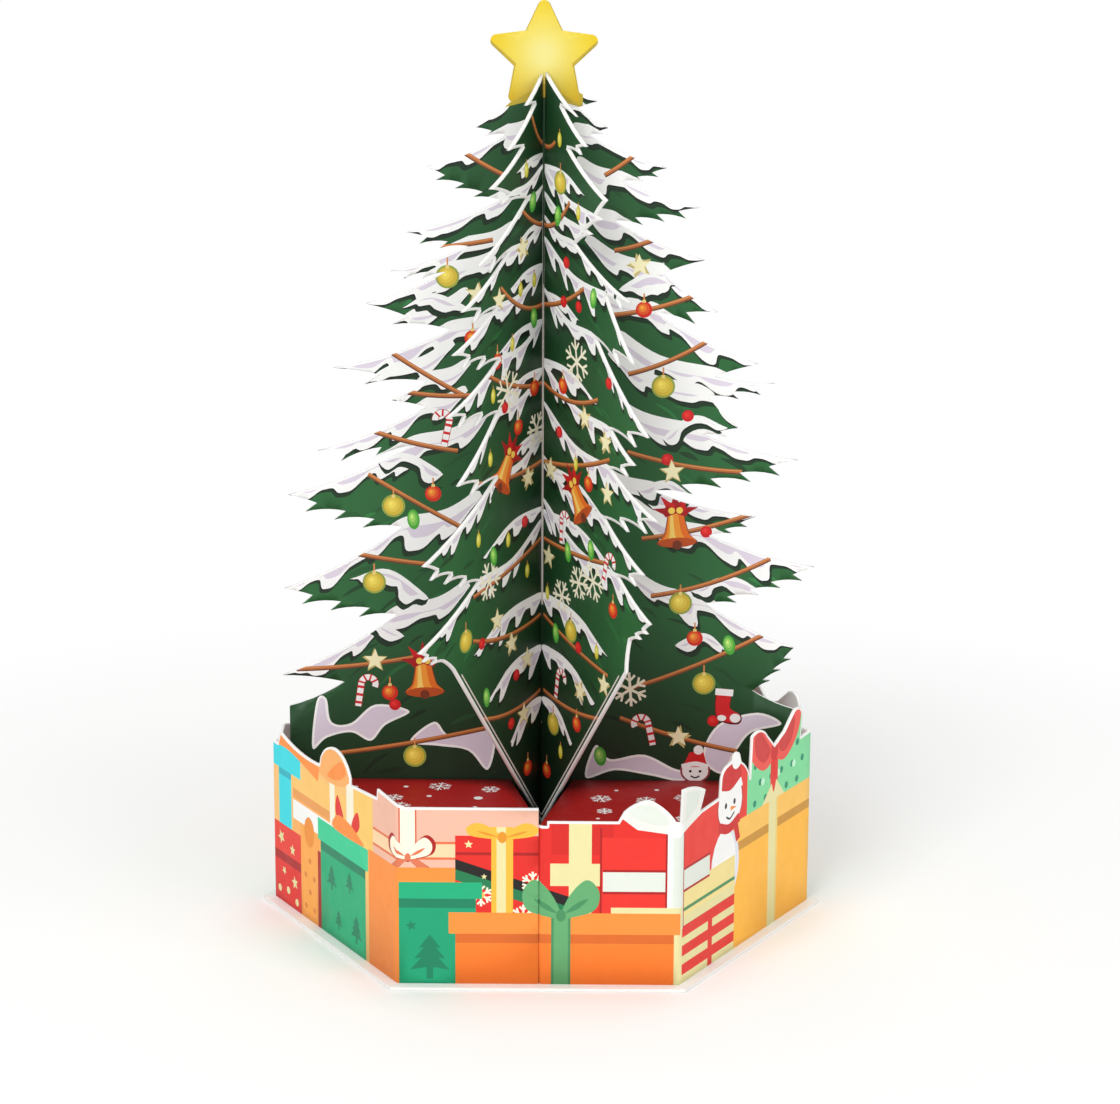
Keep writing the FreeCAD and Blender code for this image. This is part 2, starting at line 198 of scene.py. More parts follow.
class Artwork:
    """The print of one flat sheet: shapes in millimetres, each laid over the ones before."""

    def __init__(self, ground):
        self.shapes = []
        self.ground = ground
        self.shift = 0.0

    def moved(self, shift):
        """The same print, with what is laid through it moved along."""
        view = copy.copy(self)
        view.shift += shift
        return view

    def lay(self, points, ink):
        self.shapes.append((np.asarray(points, float) + (self.shift, 0), ink))

    def block(self, left, low, right, high, ink):
        self.lay(rectangle(left, low, right, high), ink)

    def disc(self, *measures, ink, steps=18):
        """Oval, by the measures that oval takes."""
        self.lay(oval(*measures, steps=steps), ink)

    def blob(self, points, ink, steps=5):
        """Smooth closed shape through the points."""
        self.lay(curve(points, steps, closed=True), ink)

    def band(self, upper, lower, ink):
        """Shape between two edges."""
        self.lay(np.concatenate([upper, lower[::-1]]), ink)

    def stroke(self, path, half, ink):
        """Band along a path, by its half width to each side."""
        self.lay(ribbon(path, half), ink)

    def glow(self, x, y, across, up, inner, outer, turn=0.0, rings=4):
        """Oval that fades from inner near its upper left to outer at its rim."""
        for k in range(rings):
            share = k / (rings - 1)
            grow = 1 - 0.8 * share
            tone = (1 - share) * np.array(outer, float) + share * np.array(inner, float)
            middle = (x - 0.25 * across * share, y + 0.25 * up * share)
            self.disc(*middle, across * grow, up * grow, turn, ink=tone)

    def border(self, outline, half, ink, keep):
        """Stroke along the outline's edges, where keep says so of an edge's middle."""
        ends = np.roll(outline, -1, axis=0)
        for a, b in zip(outline, ends):
            if keep((a + b) / 2) and np.linalg.norm(b - a) > 1e-3:
                along = (b - a) / np.linalg.norm(b - a) * half * 0.6
                self.stroke([a - along, b + along], half, ink)


def cad_triangles(node):
    """The triangles of a node's CAD mesh, in millimetres."""
    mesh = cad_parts[node].data
    spots = np.empty(len(mesh.vertices) * 3)
    mesh.vertices.foreach_get("co", spots)
    mesh.calc_loop_triangles()
    corners = np.empty(len(mesh.loop_triangles) * 3, int)
    mesh.loop_triangles.foreach_get("vertices", corners)
    return spots.reshape(-1, 3)[corners.reshape(-1, 3)] / MM


def face_outline(node, flatten):
    """Outline of a node's printed face on the flat sheet, in millimetres.

    flatten gives (x, y) of points and whether they lie on one flat panel. The face is the triangles on the
    panels, and its outline is the run of their edges that no second triangle uses.
    """
    triangles = cad_triangles(node)
    edges = {}
    for panel in flatten:
        flat, inside = panel(triangles)
        for triangle in np.round(flat[inside.all(1)], 3):
            for a, b in zip(triangle, np.roll(triangle, -1, axis=0)):
                pair = (tuple(a + 0.0), tuple(b + 0.0))
                if pair[0] != pair[1] and edges.pop(pair[::-1], None) is None:
                    edges[pair] = True
    follow = {start: end for start, end in edges}
    loops = []
    while follow:
        start, end = follow.popitem()
        run = [start]
        while end != start:
            run.append(end)
            end = follow.pop(end)
        loops.append(np.array(run))
    return max(loops, key=len)


def encloses(ring, points):
    """Which points a closed ring winds round: as many of its edges don't rise past them as fall."""
    found = np.zeros(len(points), bool)
    near = np.flatnonzero(((points > ring.min(0)) & (points < ring.max(0))).all(1))
    (ax, ay), (bx, by) = ring.T[:, None], np.roll(ring, -1, axis=0).T[:, None]
    x, y = points[near].T[..., None]
    left = (bx - ax) * (y - ay) - (x - ax) * (by - ay)
    rising = (ay <= y) & (by > y) & (left > 0)
    falling = (ay > y) & (by <= y) & (left < 0)
    found[near] = rising.sum(1) != falling.sum(1)
    return found


def inked_sheet(outline, art, folds=()):
    """Flat sheet in triangles: its points, the triangles, and the screen colour of each corner.

    The outline, the folds and the edges of the printed shapes cut the sheet. A triangle has the ink of the
    topmost shape round its middle, and an ink is one colour or a function of the points.
    """
    rings = [outline] + [points for points, ink in art.shapes]
    inks = [art.ground] + [ink for points, ink in art.shapes]
    ends = np.cumsum([len(ring) for ring in rings])
    edges = []
    for end, ring in zip(ends, rings):
        start = end - len(ring)
        edges += [(start + k, start + (k + 1) % len(ring)) for k in range(len(ring))]
    spots = np.concatenate(rings + [np.array([(x, -FOLD_REACH), (x, FOLD_REACH)]) for x in folds])
    edges += [(ends[-1] + 2 * k, ends[-1] + 2 * k + 1) for k in range(len(folds))]
    made = delaunay_2d_cdt([Vector(spot) for spot in spots], edges, [], 0, 1e-4, False)
    flat = np.array([tuple(spot) for spot in made[0]])
    triangles = np.array(made[2])
    middles = flat[triangles].mean(1)
    tops = np.full(len(triangles), -1)
    for k, ring in enumerate(rings):
        tops[encloses(ring, middles)] = k
    kept = encloses(outline, middles)
    triangles, tops = triangles[kept], tops[kept]
    used, triangles = np.unique(triangles, return_inverse=True)
    flat, triangles = flat[used], triangles.reshape(-1, 3)
    colours = np.empty((len(triangles), 3, 3))
    for top in np.unique(tops):
        here = tops == top
        ink = inks[top]
        if callable(ink):
            ink = ink(flat[triangles[here]].reshape(-1, 2)).reshape(-1, 3, 3)
        colours[here] = ink
    return flat, triangles, colours


def printed_piece(name, spots, corners, sizes, colours):
    """Object of printed card: points in millimetres, its faces' corners, and a screen colour for each."""
    mesh = bpy.data.meshes.new(name)
    mesh.vertices.add(len(spots))
    mesh.vertices.foreach_set("co", (spots * MM).ravel())
    mesh.loops.add(len(corners))
    mesh.loops.foreach_set("vertex_index", corners)
    mesh.polygons.add(len(sizes))
    mesh.polygons.foreach_set("loop_start", np.cumsum(sizes) - sizes)
    mesh.update(calc_edges=True)
    mesh.validate()
    layer = mesh.color_attributes.new("ink", "FLOAT_COLOR", "CORNER")
    layer.data.foreach_set("color", np.insert(linear(colours), 3, 1.0, axis=1).ravel())
    mesh.materials.append(PRINTED)
    piece = bpy.data.objects.new(name, mesh)
    bpy.context.collection.objects.link(piece)
    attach(piece, "root")
    return piece


def cut_card(name, outline, art, place, folds=(), back_white=False):
    """Solid sheet of printed card: the inked triangles at depth 0 and 1, joined by a white rim.

    place takes flat points and a depth share to the card's real place.
    """
    flat, triangles, colours = inked_sheet(outline, art, folds)
    count = len(flat)
    starts = triangles.ravel()
    stops = np.roll(triangles, -1, axis=1).ravel()
    alone = ~np.isin(starts * count + stops, stops * count + starts)
    rim = np.stack([starts, starts + count, stops + count, stops], 1)[alone]
    front = place(flat, np.zeros(count))
    back = place(flat, np.ones(count))
    a, b, c = front[triangles[0]]
    behind = np.broadcast_to(CUT_WHITE, colours.shape) if back_white else colours
    if np.dot(np.cross(b - a, c - a), back[triangles[0, 0]] - a) > 0:
        triangles = triangles[:, ::-1]
        colours = colours[:, ::-1]
        rim = rim[:, ::-1]
    else:
        behind = behind[:, ::-1]
    corners = np.concatenate([triangles.ravel(), (triangles[:, ::-1] + count).ravel(), rim.ravel()])
    sizes = np.repeat([3, 4], [2 * len(triangles), len(rim)])
    painted = [colours.reshape(-1, 3), behind.reshape(-1, 3), np.tile(CUT_WHITE, (rim.size, 1))]
    return printed_piece(name, np.concatenate([front, back]), corners, sizes, np.concatenate(painted))


PRINTED = paper_finish("printed card", "ink", 0.5, 0.08)
WALL_CARD = 0.5
GLUE_GAP = 0.05
ring_side = -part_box("wall_left")[0].x / MM
apothem = ring_side * math.sqrt(3) / 2
lap_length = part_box("wall_left")[1].x / MM
STEP = WALL_CARD + GLUE_GAP
STRIP = np.array([
    (0, -apothem), (-ring_side / 2, -apothem), (-ring_side, 0), (-ring_side / 2, apothem),
    (-STEP - GLUE_GAP, apothem), (-GLUE_GAP, apothem - STEP), (lap_length, apothem - STEP)])
STRIP_RUN = np.concatenate([[0], np.cumsum(np.linalg.norm(np.diff(STRIP, axis=0), axis=1))])


def inner_path(path, distance):
    """The path moved to its right, its corners mitred: by the distance over the cosine of half the turn."""
    along = np.diff(path, axis=0)
    along /= np.linalg.norm(along, axis=1, keepdims=True)
    before = np.concatenate([along[:1], along])
    after = np.concatenate([along, along[-1:]])
    middle = before + after
    middle /= np.linalg.norm(middle, axis=1, keepdims=True)
    reach = distance / np.sum(middle * after, axis=1, keepdims=True)
    return path + reach * np.stack([middle[:, 1], -middle[:, 0]], 1)


def strip_panels(side):
    """Flatteners of a strip's panels. x runs backwards along the strip, so it reads from outside."""
    def flattener(start, end, run):
        along = (end - start) / np.linalg.norm(end - start)
        inward = np.array([along[1], -along[0]])

        def flatten(spots):
            plan = spots[..., :2] * side - start
            far = plan @ along
            beyond = np.maximum(-far, far - np.linalg.norm(end - start))
            inside = (abs(plan @ inward) < ON_PANEL) & (beyond < ON_PANEL)
            return np.stack([-(run + far), spots[..., 2]], -1), inside
        return flatten
    return [flattener(a, b, run) for a, b, run in zip(STRIP[:-1], STRIP[1:], STRIP_RUN)]


def strip_place(side):
    """Place of a strip's flat points: carried along the outer path and the inner one, by depth."""
    paths = np.stack([STRIP, inner_path(STRIP, WALL_CARD)])

    def place(flat, depth):
        at = [[np.interp(-flat[:, 0], STRIP_RUN, path[:, k]) for k in (0, 1)] for path in paths]
        outer, inner = np.array(at[0]), np.array(at[1])
        plan = side * (outer + (inner - outer) * depth)
        return np.stack([plan[0], plan[1], flat[:, 1]], 1)
    return place


ORANGE = (252, 128, 42)
PALE_ORANGE = (252, 146, 60)
SHADE_ORANGE = (218, 106, 38)
AMBER = (255, 188, 62)
SHADE_AMBER = (204, 146, 50)
RED = (226, 42, 34)
DEEP_RED = (172, 26, 24)
GREEN = (22, 172, 118)
SHADE_GREEN = (20, 128, 92)
SAGE = (98, 170, 112)
DEEP_SAGE = (70, 142, 92)
MINT = (128, 218, 156)
CREAM = (232, 224, 164)
PALE_CREAM = (250, 244, 220)
PINK = (240, 186, 162)
CYAN = (46, 218, 228)
KNIT_RED = (206, 34, 32)
COAL = (34, 30, 34)
SNOW = (248, 248, 246)
PALE_GREY = (226, 232, 222)
ABOVE = 60.0


def gift(art, left, low, right, high, body, lid, shade, lid_height, overhang=1.3):
    """Gift box seen from the front: body, shadow under the lid, and a lid that is a little wider."""
    seam = high - lid_height
    art.block(left, low, right, high, body)
    art.block(left, seam - 1.9, right, seam, shade)
    art.block(left - overhang, seam, right + overhang, high, lid)


def bow(art, x, y, size, ink, shade, rise=1.0, tails=True):
    """Tied bow: two loops that rise to each side, a knot, and two tails unless it has none."""
    for side in (-1, 1):
        stretch = (side * size, size * rise)
        tail = [(0, 0), (0.5, -0.5), (0.95, -0.62), (0.8, -0.34), (0.3, 0.02)]
        loop = [(0, 0), (0.25, 0.55), (0.68, 0.9), (1.0, 0.62), (0.92, 0.2), (0.45, 0.02)]
        fold = [(0.12, 0.1), (0.42, 0.34), (0.72, 0.44), (0.45, 0.2)]
        if tails:
            art.lay(np.array(tail) * stretch + (x, y), shade)
        art.blob(np.array(loop) * stretch + (x, y), ink)
        art.blob(np.array(fold) * stretch + (x, y), shade, 4)
    art.disc(x, y + 0.04 * size, 0.13 * size, 0.17 * size, ink=shade)


def dotted(art, left, low, right, high, pitch, reach, ink):
    """Staggered rows of dots, set in from the edges of a field."""
    rows = np.arange(low + pitch * 0.6, high - pitch * 0.3, pitch * 0.86)
    for row, y in enumerate(rows):
        for x in np.arange(left + pitch * (0.5 + 0.5 * (row % 2)), right - reach, pitch):
            art.disc(x, y, reach, steps=10, ink=ink)


def flake(art, x, y, reach, ink, half=0.22, turn=0.0):
    """Snowflake: six thin arms with a pair of side twigs on each."""
    for k in range(6):
        arm = turned([(0, 0), (0, reach)], turn + 60 * k) + (x, y)
        art.stroke(arm, half, ink)
        for side in (-1, 1):
            twig = turned([(0, reach * 0.5), (side * reach * 0.32, reach * 0.82)], turn + 60 * k) + (x, y)
            art.stroke(twig, half * 0.85, ink)


def left_panel(art):
    """Left-hand panel of the ring, from its outer corner on."""
    art.block(0, 0, ring_side, ABOVE, (250, 196, 118))
    gift(art, 9, 15, 33, 32.5, (251, 178, 96), (252, 200, 110), (236, 160, 84), 5.5, 0.8)
    art.block(9, 20.5, 33, 24.6, SNOW)
    art.block(26, 15, 28.2, 34, PALE_CREAM)
    art.block(33.5, 18, 45.5, 40, (251, 204, 106))
    art.block(33.5, 18, 36.6, 40, PALE_CREAM)
    art.block(0, 29.6, 12.6, 40, CYAN)
    art.block(2.4, 17.5, 8.2, 31, CYAN)
    art.block(2.4, 28.2, 8.2, 29.6, (30, 178, 192))
    art.blob([(10, 37.5), (15, 36), (21, 34), (27, 33.2), (33, 34.5), (36.5, 38), (34, 42), (28, 42),
              (23, 39)], (251, 176, 98))
    art.stroke(curve([(0.5, 35.6), (6, 36.0), (13, 35), (21, 33.2)]), 1.5, PALE_ORANGE)
    art.blob([(25, 34.5), (30, 34.8), (33.4, 37.2), (31, 39)], PALE_ORANGE)
    art.block(12.4, 0, 21, 20.5, (252, 170, 74))
    dotted(art, 12.6, 1, 21, 17, 3.9, 0.62, (222, 132, 52))
    art.disc(16.4, 19.6, 2.3, 3.2, ink=(240, 146, 50))
    art.block(20.2, 0, 21.6, 17, DEEP_RED)
    gift(art, 0, 0, 12.4, 17.6, RED, (234, 58, 44), DEEP_RED, 6.2, 0)
    for along, up, reach in ((3.2, 14.6, 1.6), (8.4, 13.2, 1.3), (9.3, 6.4, 1.5), (4.4, 7.6, 1.0)):
        art.lay(star(along, up, reach, reach * 0.45, along * 9), CREAM)
    for along, up in ((2.2, 3.2), (6.2, 3.8), (10.2, 2.4)):
        art.disc(along, up, 0.8, steps=12, ink=CREAM)
    gift(art, 21.6, 0, 41.6, 24.2, GREEN, (50, 206, 150), SHADE_GREEN, 4.6, 1.2)
    for along, up, tall in ((26.5, 10.5, 5.4), (34.5, 12.4, 4.4), (37.4, 2.6, 6.0), (29.5, 3.0, 4.2)):
        fir_mark(art, along, up, tall, SHADE_GREEN)
    for tip, shift in (((-3.6, 31.6), -1.0), ((3.4, 30.6), 1.0)):
        loop = [(0, 24.4), (tip[0] * 1.2, 27.5), (tip[0], tip[1]), (tip[0] * 0.35, 28.5)]
        art.blob(np.array(loop) + (34 + shift, 0), RED)
    cap = [(27.5, 24.2), (29.5, 27.4), (34.5, 27.2), (38.5, 25.8), (40.5, 24.2)]
    art.blob(cap, PALE_ORANGE)


def fir_mark(art, x, y, tall, ink):
    """Small printed fir: three tiers that narrow upwards, on a short trunk."""
    half = tall * np.array([0.07, 0.07, 0.42, 0.18, 0.33, 0.12, 0.24, 0.0])
    rise = tall * np.array([0.0, 0.26, 0.2, 0.48, 0.45, 0.72, 0.68, 1.0])
    side = np.stack([half, rise], 1)
    art.lay(np.concatenate([side, (side * (-1, 1))[::-1]]) + (x, y), ink)


def corner_column(art):
    """Gifts that run round the front left corner: a pink one over an orange one."""
    art.block(-10, 20, 28, ABOVE, PINK)
    art.block(-10, 26.2, 28, 29.4, (250, 214, 168))
    for height in (26.2, 29.4):
        art.block(-10, height, 28, height + 0.5, (232, 116, 72))
    art.block(0.6, 26, 3.8, ABOVE, PALE_CREAM)
    for edge in (0.6, 3.8):
        art.block(edge - 0.15, 26, edge + 0.15, ABOVE, (216, 96, 70))
    bow(art, 2.2, 26.4, 5.4, DEEP_RED, DEEP_RED)
    bow(art, 2.2, 26.5, 4.7, PALE_CREAM, (222, 120, 84))
    art.block(-12, 0, 0.4, 24.6, PALE_ORANGE)
    art.block(-12, 19.6, 14.6, 24.6, (252, 146, 60))


def slanted_band(art, start, high):
    """Black and green bands across the red gift, from a start down to the ribbon's foot."""
    slope = np.array([(start, high), (34, 18.6), (34, 16.4), (start, high - 2.2)])
    art.lay(slope, (24, 22, 20))
    art.lay(slope - (0, 2.1), (30, 122, 76))


def front_left(art):
    """Front panel's left half, from the front left corner to the middle."""
    art.block(0, 0, 30, ABOVE, PINK)
    corner_column(art)
    art.block(11.4, 12, 60, 31.2, RED)
    art.block(11.4, 27.2, 60, 27.8, DEEP_RED)
    slanted_band(art, 11.4, 26.4)
    for along, up in ((16.4, 19.0), (26.4, 21.6), (24.6, 14.8)):
        flake(art, along, up, 2.3, PALE_CREAM, 0.22)
        art.disc(along, up, 0.7, steps=10, ink=(244, 190, 80))
    for along, up, reach in ((14.0, 29.4, 0.9), (17.0, 22.8, 0.6), (29.4, 24.6, 0.7)):
        art.lay(star(along, up, reach, reach * 0.45), CREAM)
    art.block(18.4, 12, 22.6, 33, AMBER)
    art.block(19.4, 12, 21.2, 33, CREAM)
    bow(art, 20.5, 30.6, 6.9, (246, 186, 62), (228, 150, 40), 0.52, tails=False)
    gift(art, 0.4, 0, 15.4, 21.6, (20, 160, 114), (26, 174, 122), SHADE_GREEN, 3.4, 1.2)
    art.block(-2, 0, 0.4, 24, PALE_ORANGE)
    fir_mark(art, 6.4, 1.6, 9.2, SHADE_GREEN)
    art.lay(star(2.8, 12.6, 1.2, 0.5, 10), SHADE_GREEN)
    art.lay(star(12.6, 14.0, 0.9, 0.4, -10), SHADE_GREEN)
    front_box(art)


def front_box(art):
    """The large orange gift in the middle of the front, with its sage ribbon and bow."""
    gift(art, 11.4, 0, 53.9, 15.4, ORANGE, PALE_ORANGE, SHADE_ORANGE, 4.4, 1.3)
    art.block(30.0, 0, 33.8, 15.4, SAGE)
    for edge in (30.0, 33.3):
        art.block(edge, 0, edge + 0.5, 15.4, DEEP_SAGE)
    bow(art, 31.9, 14.6, 7.4, SAGE, DEEP_SAGE, 1.15, tails=False)


def front_right(art):
    """Front panel's right half, laid out from the front left corner too."""
    art.block(27, 0, 56, ABOVE, RED)
    art.block(30, 27.4, 42, ABOVE, (212, 36, 30))
    art.block(33.4, 12, 37.8, ABOVE, CREAM)
    art.block(29.8, 21, 39.6, 25.6, CREAM)
    art.block(39.8, 12, 56, 31, (232, 50, 40))
    art.block(39.4, 12, 39.8, 33, DEEP_RED)
    white_parcel(art.moved(ring_side))
    art.block(41.6, 13.2, 56, 16.6, CREAM)
    art.block(52, 0, 56, 14, CREAM)
    slanted_band(art, 27, 21.0)
    front_box(art)


def white_parcel(art):
    """White ribbon of the parcel that runs round the front right corner, with its cut-out bow."""
    art.block(-15, 19.4, 12, 24.4, DEEP_RED)
    art.block(-15, 19.9, 12, 23.9, PALE_GREY)
    art.block(-2.9, 12, 1.5, 33, DEEP_RED)
    art.block(-2.5, 12, 1.2, 34, PALE_GREY)
    art.block(-2.5, 12, -1.5, 33, SNOW)
    left = [(0, 31.4), (-8.4, 32.6), (-12.8, 36), (-12.6, 42), (-4, 42), (0.4, 35)]
    right = [(0, 31.4), (3.4, 32.4), (8.4, 33.6), (13, 36), (13, 43), (-0.4, 43), (-0.6, 35)]
    art.lay(left, (238, 238, 230))
    art.lay(right, (238, 238, 230))
    art.blob([(-2.4, 33.6), (-7.4, 34.2), (-10.4, 36.4), (-8.0, 37.6), (-4.4, 37)], PALE_GREY)
    art.lay([(1.6, 33.8), (6.2, 35.2), (8.0, 38.4), (2.2, 39.6)], PALE_GREY)
    art.disc(-0.8, 32.6, 2.1, 1.6, ink=SNOW)


def right_panel(art):
    """Right-hand panel of the ring, from the front right corner on."""
    art.block(0, 0, ring_side, ABOVE, (232, 56, 44))
    white_parcel(art)
    art.block(27.4, 18, 56, ABOVE, MINT)
    dotted(art, 28.4, 26, 54, 44, 4.6, 0.75, (30, 140, 104))
    dotted(art, 30.7, 28.4, 55, 44, 6.8, 0.8, (196, 244, 208))
    art.block(37.4, 26, 40.6, 42, RED)
    for lean in (-1, 1):
        loop = [(0, -0.6), (2.6, 2.8), (7.6, 8.0), (11.4, 6.4), (10.4, 0.6), (6.0, -3.2), (2.4, -3.4)]
        loop = curve(np.array(loop) * (lean, 1), 5, closed=True)
        art.lay(loop + (39.0, 38.4), (236, 84, 72))
        art.lay(loop * 0.6 + (39.0 + lean * 1.8, 38.6), (206, 52, 48))
    art.disc(39.0, 37.6, 1.7, 2.0, ink=(206, 40, 38))
    gift(art, 22.6, 0, 56, 27.4, AMBER, (251, 196, 92), SHADE_AMBER, 4.6, 0.8)
    art.block(37.0, 0, 40.8, 29, CREAM)
    art.block(40.0, 0, 40.8, 29, (236, 214, 130))
    art.lay([(34, 27.4), (38, 31.0), (38.9, 28.4), (40, 31.4), (43.6, 27.4)], CREAM)
    snowman(art.moved(18.4))
    gift(art, 0, 0, 22.6, 20.6, RED, (242, 224, 150), DEEP_RED, 6.4, 0.0)
    art.block(0, 12.4, 22.6, 14.4, CREAM)
    art.block(0, 15.4, 22.6, 16.1, DEEP_SAGE)
    for low in np.arange(0.6, 12, 3.9):
        art.block(0, low, 22.6, low + 1.7, CREAM)
    art.block(11.6, 0, 13.4, 12.4, RED)


def snowman(art):
    """Plain snowman: two balls of snow, a red cap with a bobble, a scarf and a round-eyed face."""
    art.disc(0, 19.4, 5.9, 8.0, ink=(226, 228, 238))
    art.disc(-0.5, 19.8, 5.0, 7.4, ink=SNOW)
    art.disc(1.8, 32.2, 5.5, 5.6, ink=(196, 60, 56))
    art.disc(1.8, 32.0, 5.0, 5.2, ink=SNOW)
    art.stroke(curve([(-3.0, 28.3), (1.4, 26.9), (5.8, 28.1)]), 1.0, KNIT_RED)
    art.stroke([(4.0, 27.8), (5.4, 23.4)], 0.9, KNIT_RED)
    art.lay([(-2.8, 35.0), (-1.4, 42), (5.4, 42), (6.6, 35.6), (1.8, 34.2)], KNIT_RED)
    art.stroke(curve([(-3.2, 35.0), (1.8, 33.8), (6.6, 35.4)]), 1.0, SNOW)
    art.disc(4.4, 40.6, 2.1, ink=SNOW)
    for side in (-1, 1):
        art.disc(1.8 + side * 1.8, 32.0, 0.5, 0.65, steps=10, ink=COAL)
    art.lay([(2.0, 31.4), (4.6, 30.7), (2.0, 30.4)], (244, 136, 44))
    art.stroke(curve([(0.2, 29.6), (1.8, 28.9), (3.6, 29.8)]), 0.2, COAL)


def rear_panel(art, width, chance):
    """Two rows of plain gifts for a panel at the back: colours, widths and heights vary by chance."""
    art.block(0, 0, width, ABOVE, (250, 196, 118))
    schemes = [(RED, (234, 66, 52), DEEP_RED, CREAM), (GREEN, (36, 190, 134), SHADE_GREEN, PALE_ORANGE),
               (AMBER, (251, 196, 92), SHADE_AMBER, CREAM), (ORANGE, PALE_ORANGE, SHADE_ORANGE, SAGE),
               (MINT, (150, 226, 172), DEEP_SAGE, RED)]
    scheme = 0
    for low, tall in ((8, 32), (0, 20)):
        edge = -2
        while edge < width:
            wide = min(chance.uniform(14, 24), width + 2 - edge)
            scheme += chance.choice((1, 2, 3))
            body, lid, shade, tie = schemes[scheme % len(schemes)]
            high = low + tall * chance.uniform(0.72, 1.0)
            gift(art, edge, low, edge + wide, high, body, lid, shade, 4.4, 0.6)
            middle = edge + wide * chance.uniform(0.35, 0.65)
            art.block(middle - 1.4, low, middle + 1.4, high, tie)
            bow(art, middle, high - 0.8, 5.0, tie, shade, 0.9, tails=False)
            edge += wide + 0.8


def gift_wall(node, art, side):
    """Strip of printed card round one side of the ring, with a white line along its cut top edge."""
    outline = face_outline(node, strip_panels(side))
    art.border(outline, 0.42, CUT_WHITE, lambda middle: middle[1] > 20)
    return cut_card("gift_" + node, outline, art, strip_place(side), corner_at[1:-1], back_white=True)


corner_at = -STRIP_RUN
chance = random.Random(11)

left_art = Artwork(CUT_WHITE)
rear_panel(left_art.moved(corner_at[3]), ring_side, chance)
rear_panel(left_art.moved(corner_at[4]), ring_side / 2, chance)
left_panel(left_art.moved(corner_at[2]))
front_left(left_art.moved(corner_at[1]))
wall_left = gift_wall("wall_left", left_art, 1)
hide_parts("wall_left")

right_art = Artwork(CUT_WHITE)
rear_panel(right_art.moved(corner_at[1]), ring_side / 2, chance)
rear_panel(right_art.moved(corner_at[2]), ring_side, chance)
right_panel(right_art.moved(corner_at[3]))
front_right(right_art.moved(corner_at[3] - ring_side))
wall_right = gift_wall("wall_right", right_art, -1)
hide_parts("wall_right")

# Platforms: two red plates with folded glue tabs that close the ring beside the main tree sheet. White
# snowflakes and dots are printed on their upper faces. All but the upper face is the solid's own mesh.

PLATFORM_RED = (172, 22, 22)
plate_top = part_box("platform_front")[1].z / MM


def plate_face(spots):
    """Plan of the points, and whether they lie in the plates' upper face."""
    return spots[..., :2], abs(spots[..., 2] - plate_top) < ON_PANEL


def plate_print(side):
    """Red field with snowflakes and dots, on the side of the axis that y has the sign of."""
    chance = random.Random(4)
    art = Artwork(PLATFORM_RED)
    for row, y in enumerate(np.arange(6.0, 44.0, 6.2)):
        reach = ring_side - 6 - y / math.sqrt(3)
        for x in np.arange(-reach + 3.4 * (row % 2), reach, 8.6):
            if abs(x) < 9 and y < 30:
                continue
            spot = (x + chance.uniform(-1.4, 1.4), side * (y + chance.uniform(-1.2, 1.2)))
            if chance.random() < 0.34:
                flake(art, *spot, chance.uniform(1.7, 2.5), SNOW, 0.17, chance.uniform(0, 60))
            else:
                art.disc(*spot, chance.uniform(0.4, 0.95), steps=10, ink=SNOW)
    return art


for node, side in (("platform_front", -1), ("platform_back", 1)):
    solid = cad_triangles(node)
    kept = solid[~plate_face(solid)[1].all(1)]
    flat, top, inks = inked_sheet(face_outline(node, [plate_face]), plate_print(side))
    face = np.insert(flat[top], 2, plate_top, axis=2)
    a, b, c = face[0]
    if np.cross(b - a, c - a)[2] < 0:
        face, inks = face[:, ::-1], inks[:, ::-1]
    whole = np.round(np.concatenate([kept, face]).reshape(-1, 3), 3)
    spots, corners = np.unique(whole, axis=0, return_inverse=True)
    reds = np.tile(PLATFORM_RED, (len(kept) * 3, 1))
    colours = np.concatenate([reds, inks.reshape(-1, 3)])
    sizes = np.full(len(whole) // 3, 3)
    plate = printed_piece(node.replace("platform", "floor"), spots, corners.ravel(), sizes, colours)
    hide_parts(node)

# Tree: three die-cut sheets printed on both faces with a snowy fir, halved into each other on the axis.
# The main sheet carries the star. The two cross sheets keep an unprinted white margin at their cut edge.

FOREST = (38, 98, 50)
# Shade colour of the fir, painted in by the axis and towards the foot.
FIR_PAINTED_SHADE = (10, 38, 18)
NIGHT = (6, 16, 10)
ICING = (246, 240, 214)
LILAC = (222, 212, 226)
TWINE = (178, 104, 54)
DARK_TWINE = (104, 56, 30)
PALE_TWINE = (216, 140, 80)
BERRY = (206, 20, 30)
CANE_RED = (214, 36, 40)
TREE_CARD = (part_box("main_tree")[1].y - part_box("main_tree")[0].y) / MM
crown = max(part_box("cross_tree_left")[1].z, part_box("cross_tree_right")[1].z) / MM
star_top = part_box("main_tree")[1].z / MM


def sheet_frame(turn):
    """Flattener and placer of an upright sheet through the axis, turned about it."""
    c, s = math.cos(math.radians(turn)), math.sin(math.radians(turn))

    def flatten(spots):
        across = spots[..., 0] * c + spots[..., 1] * s
        deep = spots[..., 1] * c - spots[..., 0] * s + TREE_CARD / 2
        return np.stack([across, spots[..., 2]], -1), abs(deep) < ON_PANEL

    def place(flat, depth):
        deep = (depth - 0.5) * TREE_CARD
        return np.stack([flat[:, 0] * c - deep * s, flat[:, 0] * s + deep * c, flat[:, 1]], 1)
    return [flatten], place


